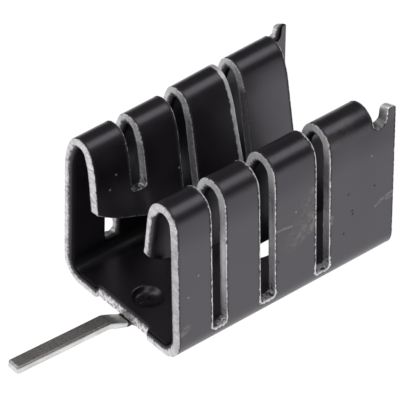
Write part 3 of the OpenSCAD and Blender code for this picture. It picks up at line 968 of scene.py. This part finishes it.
# %% Spots and strokes on the blank
def stroke(start_point, end_point, width):
    """1 on a straight line between two points (run, y) of the blank, fading to 0 at width
    on either side: a fade of the squared distance to the line's nearest point."""
    (s0, y0), (s1, y1) = start_point, end_point
    length2 = (s1 - s0) ** 2 + (y1 - y0) ** 2
    t = ((across - s0) * (s1 - s0) + (along - y0) * (y1 - y0)) / length2
    t = t.most(0.0).least(1.0)
    ds, dy = across - s0 - t * (s1 - s0), along - y0 - t * (y1 - y0)
    return (ds * ds + dy * dy).fade(width ** 2, 0.0)


def spot(place, width):
    """1 round a point (run, y) of the blank, fading to 0 at width from it: a fade of the squared
    distance."""
    ds, dy = across - place[0], along - place[1]
    return (ds * ds + dy * dy).fade(width ** 2, width ** 2 * 0.2)


def wall_point(y, z):
    """Point of the blank (run, y) at a place on the right wall."""
    return float(rising(upright_legs)(z)), y


def left_flange_point(y, z):
    """Point of the blank (run, y) at a place on the left flange."""
    return -float(falling(folded_legs[LEFT])(z)), y


def wall_stroke(y0, z0, y1, z1, width):
    """A stroke between two places on the right wall."""
    return stroke(wall_point(y0, z0), wall_point(y1, z1), width)


print("a place 5 mm up the right wall lies at run %.2f" % wall_point(0.0, 5.0)[0])

# %% [markdown]
# Handling leaves its own marks: a brownish rub on the third fin, pale scratches, a few pits
# and dust specks, and a torn end in the first left slot. Each list gives the places, and
# noise breaks the marks up, because a rub only takes the high spots of the coat.

# %% Rubs, scratches, pits and specks
PIT_WIDTH, SPECK_WIDTH = 0.11, 0.095
outside = through.fade(0.30, 0.40)
SMEARS = [(-1.5, 5.6, 0.4, 9.0, 1.1, 0.14), (-0.75, 5.9, 0.2, 7.1, 0.8, 0.36),
          (0.0, 5.9, 0.4, 6.9, 0.5, 0.62), (-0.3, 8.3, 0.3, 9.4, 0.3, 0.25),
          (-11.2, 2.75, -10.85, 3.0, 0.4, 0.5), (1.8, 5.4, 1.9, 5.9, 0.25, 0.6),
          (-1.6, 5.1, -1.2, 5.4, 0.22, 0.35)]     # y, z, y, z, width, strength
CREST_SMEAR, CREST_SMEAR_SIZE = ((16.9, 2.1), (17.3, 3.7), 0.6), 0.1
smear_grain = blank.scaled(1.0, 0.7, 1.0).noise(3.4, 5.0, 0.75).fade(0.36, 0.62)
rub = joined([wall_stroke(*line) * size for *line, size in SMEARS])
rub = rub.most(stroke(*CREST_SMEAR) * CREST_SMEAR_SIZE) * smear_grain * outside
SCRATCHES = [(-2.9, 7.2, -2.3, 7.2, 0.1), (-2.4, 7.2, -1.65, 7.05, 0.14), (5.8, 4.9, 6.4, 5.3, 0.13),
             (6.3, 5.25, 7.4, 5.55, 0.18), (6.8, 5.1, 7.4, 5.15, 0.12)]
scratch_grain = blank.noise(6.0, 3.0).fade(0.3, 0.52)
scratch = joined([wall_stroke(*line) for line in SCRATCHES]) * scratch_grain * outside * 0.6

PITS = [(3.4, 7.2), (3.75, 5.6), (3.8, 5.3), (5.7, 6.8), (3.0, 3.95), (-2.8, 4.55)]
pits = joined([spot(wall_point(*place), PIT_WIDTH) for place in PITS]) * outside
WALL_SPECKS = [(5.4, 9.5), (-1.25, 8.1), (-9.8, 7.1), (-10.7, 5.65)]
FLANGE_SPECKS = [(-9.75, 10.05), (-10.38, 9.08), (-4.5, 8.1)]
speck_points = [wall_point(*place) for place in WALL_SPECKS]
speck_points += [left_flange_point(*place) for place in FLANGE_SPECKS]
specks = joined([spot(place, SPECK_WIDTH) for place in speck_points]) * outside
grains = blank.node("ShaderNodeTexVoronoi", {"feature": "F1"},
                    {"Vector": blank, "Scale": 0.55, "Randomness": 1.0})
lucky = grains.output(1).axes()[0]
dust = (grains.fade(0.03, 0.02) * lucky.fade(0.55, 0.6) * 0.5).most(specks * 0.9)

rub_tone = blank.noise(2.2, 2.0).fade(0.42, 0.58).blend((0.44, 0.33, 0.26, 1), (0.50, 0.47, 0.42, 1))
coat_tone = rub.blend(coat_tone, rub_tone)
coat_tone = scratch.most(dust).blend(coat_tone, (0.48, 0.46, 0.45, 1))
coat_tone = pits.blend(coat_tone, (0.002, 0.002, 0.002, 1))
torn_end = left_flange_point(SLOTS[LEFT][0][0] + 0.4, FLANGE_FLOORS[0])
end_tone = blank.noise(4.0, 3.0, 0.7).fade(0.44, 0.6).blend((0.10, 0.095, 0.10, 1), TORN_LIGHT)
cut_tone = (spot(torn_end, 1.3) * 0.9).blend(cut_tone, end_tone)
print("black coat:", len(black.node_tree.nodes), "nodes with its marks")

# %% [markdown]
# A satin coat is a dark surface with a broad, weak mirror on it. It is duller beside a cut
# and under the right crests. On the roll-overs, where the punch drew it round the edge, and in
# some sheltered places inside, a nearly black matte shader takes over as painted shade: it
# stands in for the part's shadow on the table that the roll-overs would mirror, and for the
# shade in those places.

# %% Put the black coat together
grain = blank.noise(16.0, 2.0, 0.6)
near_cut = edge.fade(0.2, 0.12) * 0.3
under_crest = across.fade(13.6, 15.8) * across.fade(17.4, 16.4) * outside
marked = (rub * 0.1).most(scratch * 0.3).most(pits * 0.5).most(near_cut)
coat_rough = 0.33 + (mottle - 0.5) * 0.12 + under_crest * 0.16 + marked
cut_rough = 0.5 + (streaks - 0.5) * 0.25 + painted_crest_highlight * 0.35
height = (grain * 0.35 + mottle * 2.0 - pits * 1.5) * (1 - bare) + bare * streaks * 2.2
feed(start, shader, Base_Color=bare.blend(coat_tone, cut_tone), Metallic=bare,
     Roughness=coat_rough + bare * (cut_rough - coat_rough), Normal=fine_bump(start, height))
shader.inputs["IOR"].default_value = 1.87
shader.inputs["Specular Tint"].default_value = (0.95, 0.895, 1.0, 1)

# Painted shade on the roll-overs, for the part's shadow on the table that they would mirror; the dimple keeps
# most of its shine.
rollover_shade = through.fade(-0.429, -0.42) * through.fade(0.40, 0.37) * edge.fade(0.085, 0.17) * 0.93
rollover_shade = rollover_shade * (1 - spot((0.0, STAKE_Y), 2.0) * 0.8)
# Painted shade in sheltered places inside: behind the slots, in the left bend and under the right fold.
behind_slot_1 = along.band(-8.0, -4.0, 0.8) * across.band(-12.0, -7.0, 1.2)
behind_slot_3 = along.band(2.0, 5.0, 0.6) * across.fade(-7.0, -8.0)
in_left_bend = across.band(-6.4, -4.6, 0.5)
under_right_fold = across.fade(17.6, 18.6) * along.fade(0.8, 1.8)
inside_shade = joined([behind_slot_1 * 0.5, behind_slot_3 * 0.55, in_left_bend * 0.4, under_right_fold * 0.25])
shade_matte = start.node("ShaderNodeBsdfPrincipled", None,
                   {"Base Color": (0.006, 0.0055, 0.0065, 1), "Roughness": 0.8, "IOR": 1.12})
mix_surface(start, rollover_shade.most(inside_shade * through.fade(-0.36, -0.42)), shader, shade_matte)
channel.data.materials.append(black)
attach(channel, "root")
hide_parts("finned_channel")
print("channel dressed with", len(black.node_tree.nodes), "nodes")

# %% [markdown]
# The pin is tinned: a soft grey metal, dulled on top by fine rolling lines and handling and
# brighter on its sheared sides. Where it leaves the base there is a trace of flux, a painted
# highlight on its top and a painted contact shadow under the base's edge. All of it is placed
# by the run along the strip.

# %% Tinned pin
tin, start, shader = new_material("tinned_pin_finish")
blank, edge = attribute(start, "blank", 1), attribute(start, "edge", 2)
pin_run, pin_across = blank.axes()[:2]
lines = blank.scaled(0.7, 9.0, 4.0).noise(1.0, 4.0, 0.6)
cloud = blank.noise(0.9, 3.0, 0.6)
on_side = edge.fade(0.06, 0.015)
side_tone = lines.fade(0.3, 0.7).blend((0.62, 0.615, 0.61, 1), (0.86, 0.86, 0.86, 1))
tone = cloud.blend((0.50, 0.478, 0.462, 1), (0.72, 0.69, 0.67, 1))
tone = on_side.blend(tone, side_tone)
at_root = pin_run.fade(3.5, 2.8)
handled = pin_run.fade(7.5, 4.0) * 0.3 + blank.noise(5.0, 3.0, 0.7).fade(0.56, 0.4) * 0.45
tone = (handled * (1 - on_side) * (1 - at_root * 0.85)).blend(tone, (0.30, 0.285, 0.27, 1))
flux = pin_run.fade(3.0, 2.1) * cloud.fade(0.4, 0.62) * 0.25
tone = flux.blend(tone, (0.34, 0.27, 0.19, 1))
# Painted highlight: a pale, rougher spot on the pin's top near the base, where the lamps would catch it.
ds, dx = pin_run - 2.75, pin_across + 0.3
painted_glint = (ds * ds + dx * dx).fade(0.3, 0.03) * (1 - on_side) * blank.noise(3.0, 3.0, 0.6).fade(0.3, 0.6)
tone = painted_glint.blend(tone, (1.0, 0.98, 0.95, 1))
# Painted contact shadow: a dark line across the pin where it goes under the base's edge.
painted_contact_shadow = pin_run.fade(2.13, 2.05)
tone = painted_contact_shadow.blend(tone, (0.07, 0.06, 0.05, 1))
feed(start, shader, Base_Color=tone, Normal=fine_bump(start, lines * 1.2 + cloud),
     Roughness=0.46 + (lines - 0.5) * 0.2 + flux * 0.2 + painted_glint * 0.35)
shader.inputs["Metallic"].default_value = 1.0
pin.data.materials.append(tin)
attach(pin, "root")
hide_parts("solder_pin")
print("pin dressed with", len(tin.node_tree.nodes), "nodes")

# %% [markdown]
# The floor is a plain white table. It glows white to the camera and in reflections, where
# a real photographer would light the paper, and it's an ordinary pale surface to all other
# light, so the part still drops its shadow on it.

# %% Floor
FLOOR_Z, FLOOR_REACH = -0.451, 40.0  # millimetres, and metres
floor_mesh = bpy.data.meshes.new("white_table")
corners = [(-1, -1), (1, -1), (1, 1), (-1, 1)]
floor_points = [(x * FLOOR_REACH, y * FLOOR_REACH, FLOOR_Z * MM) for x, y in corners]
floor_mesh.from_pydata(floor_points, [], [(0, 1, 2, 3)])
floor = bpy.data.objects.new("white_table", floor_mesh)
bpy.context.scene.collection.objects.link(floor)
paper, start, shader = new_material("white_paper")
shader.inputs["Base Color"].default_value = (0.9, 0.9, 0.9, 1)
shader.inputs["Roughness"].default_value = 0.9
shader.inputs["Specular IOR Level"].default_value = 0.0
rays = start.node("ShaderNodeLightPath")
seen = joined([rays.output(kind) for kind in ("Is Camera Ray", "Is Glossy Ray", "Is Transmission Ray")])
glow = start.node("ShaderNodeEmission", None, {"Color": (1, 1, 1, 1), "Strength": 1.08})
mix_surface(start, seen * 0.93, shader, glow)
floor_mesh.materials.append(paper)
print("floor at z", FLOOR_Z, "mm")

# %% [markdown]
# Satin black shows little colour of its own: what reads as form is the room it mirrors.
# A soft box high behind the part draws the pale band along each fold, the white table
# lights up the walls, and a dim room leaves the rest dark.

# %% World and lamps
world = bpy.data.worlds.new("dim_room")
bpy.context.scene.world = world
world.use_nodes = True
world.node_tree.nodes["Background"].inputs["Color"].default_value = (0.10, 0.10, 0.10, 1)
world.node_tree.nodes["Background"].inputs["Strength"].default_value = 1.0


def from_angles(azimuth, elevation):
    """Unit vectors for a place at these angles: from the part towards it, level to the right as
    seen from there, and upward, the cross product of the two. Azimuth 0 is in front."""
    flat = np.cos(elevation)
    towards = np.array([np.sin(azimuth) * flat, -np.cos(azimuth) * flat, np.sin(elevation)])
    level = np.array([np.cos(azimuth), np.sin(azimuth), 0.0])
    return towards, level, np.cross(towards, level)


def pose_matrix(right, up, back, place):
    """Matrix of an object with these axes at a place in metres."""
    matrix = Matrix(np.column_stack([right, up, back]).tolist()).to_4x4()
    matrix.translation = place.tolist()
    return matrix


def soft_box(name, azimuth, elevation, distance, side, radiance):
    """A square lamp that faces the part. Its power is radiance times pi times its area."""
    towards, level, upward = from_angles(*np.radians([azimuth, elevation]))
    lamp = bpy.data.lights.new(name, "AREA")
    lamp.shape, lamp.size, lamp.size_y = "RECTANGLE", side, side
    lamp.energy = radiance * np.pi * side * side
    holder = bpy.data.objects.new(name, lamp)
    holder.matrix_world = pose_matrix(level, upward, towards, towards * distance)
    bpy.context.scene.collection.objects.link(holder)


soft_box("soft_box_behind", 154, 56, 0.6, 0.34, 1.42)
soft_box("soft_box_left", -55, 45, 0.8, 0.6, 1.5)
soft_box("soft_box_right", 60, 55, 0.8, 0.6, 1.2)

# %% [markdown]
# The photograph was taken from well above the front right corner with a long lens, so the
# edges stay almost parallel. The camera looks at a point near the middle of the part.

# %% Camera
AZIMUTH, ELEVATION, ROLL = np.radians([50.013, 40.773, 0.827])
TARGET, DISTANCE = np.array([-2.443, -2.604, 4.192]), 447.5
HALF_PIXEL = 0.0345                  # half a pixel's width at the part, in millimetres
back, level, upward = from_angles(AZIMUTH, ELEVATION)
right = np.cos(ROLL) * level + np.sin(ROLL) * upward
top = -np.sin(ROLL) * level + np.cos(ROLL) * upward
place = TARGET + back * DISTANCE - HALF_PIXEL * right + HALF_PIXEL * top
camera = bpy.data.objects.new("camera", bpy.data.cameras.new("camera"))
camera.data.lens, camera.data.sensor_width = 585.0, 36.0
camera.data.clip_start, camera.data.clip_end = 0.01, 200.0
camera.matrix_world = pose_matrix(right, top, back, place * MM)
bpy.context.scene.collection.objects.link(camera)
bpy.context.scene.camera = camera
bpy.context.scene.view_settings.view_transform = "Standard"
print("camera at", np.round(place, 1), "mm")

# %% [markdown]
